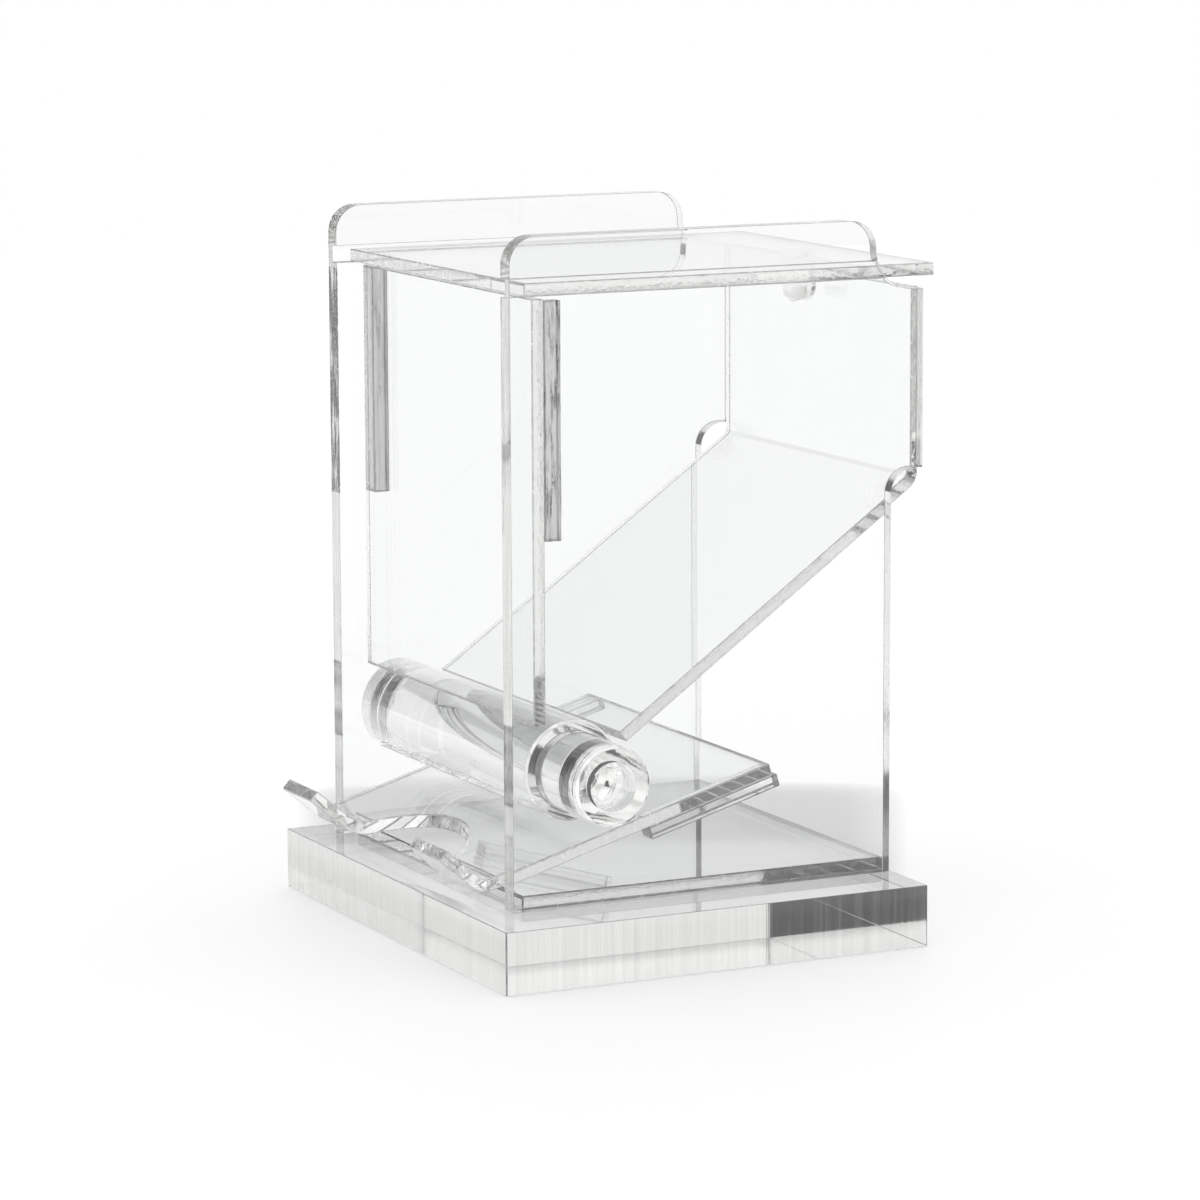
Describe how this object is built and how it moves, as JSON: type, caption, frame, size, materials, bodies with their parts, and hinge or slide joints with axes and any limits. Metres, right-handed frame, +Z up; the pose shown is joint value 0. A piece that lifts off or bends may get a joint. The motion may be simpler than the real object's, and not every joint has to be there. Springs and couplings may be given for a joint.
{
  "type": "toothpick dispenser",
  "caption": "Clear tabletop stick dispenser: a hopper with a sliding lid feeds a grooved, hand-turned roller above a sloping pick-up tray.",
  "frame": {"origin": "centre of the base block's underside", "axes": "+Z up, +X along the roller axis towards its knob, -Y towards the lip of the pick-up tray"},
  "size_m": [0.1069, 0.1051, 0.1398],
  "materials": {
    "clear_block": "thick clear cast acrylic, polished faces",
    "clear_sheet": "clear acrylic sheet, polished faces, sawn edges",
    "clear_rod": "clear turned acrylic rod"
  },
  "bodies": {
    "frame": {"base_block": "clear_block", "floor_plate": "clear_sheet", "left_side_panel": "clear_sheet", "right_side_panel": "clear_sheet", "front_wall": "clear_sheet", "left_wall_rail": "clear_sheet", "right_wall_rail": "clear_sheet", "hopper_back": "clear_sheet", "tray": "clear_sheet", "left_tray_cleat": "clear_sheet", "right_tray_cleat": "clear_sheet"},
    "lid": {"lid": "clear_sheet", "lid_stop": "clear_rod"},
    "roller": {"roller": "clear_rod"}
  },
  "joints": [
    {"name": "lid_slide", "type": "slide", "parent": "frame", "child": "lid", "axis": [0, -1, 0], "range_m": [0, 0.0712]},
    {"name": "roller_turn", "type": "hinge", "parent": "frame", "child": "roller", "pos_m": [0, -0.0231, 0.0378], "axis": [1, 0, 0], "continuous": true}
  ]
}
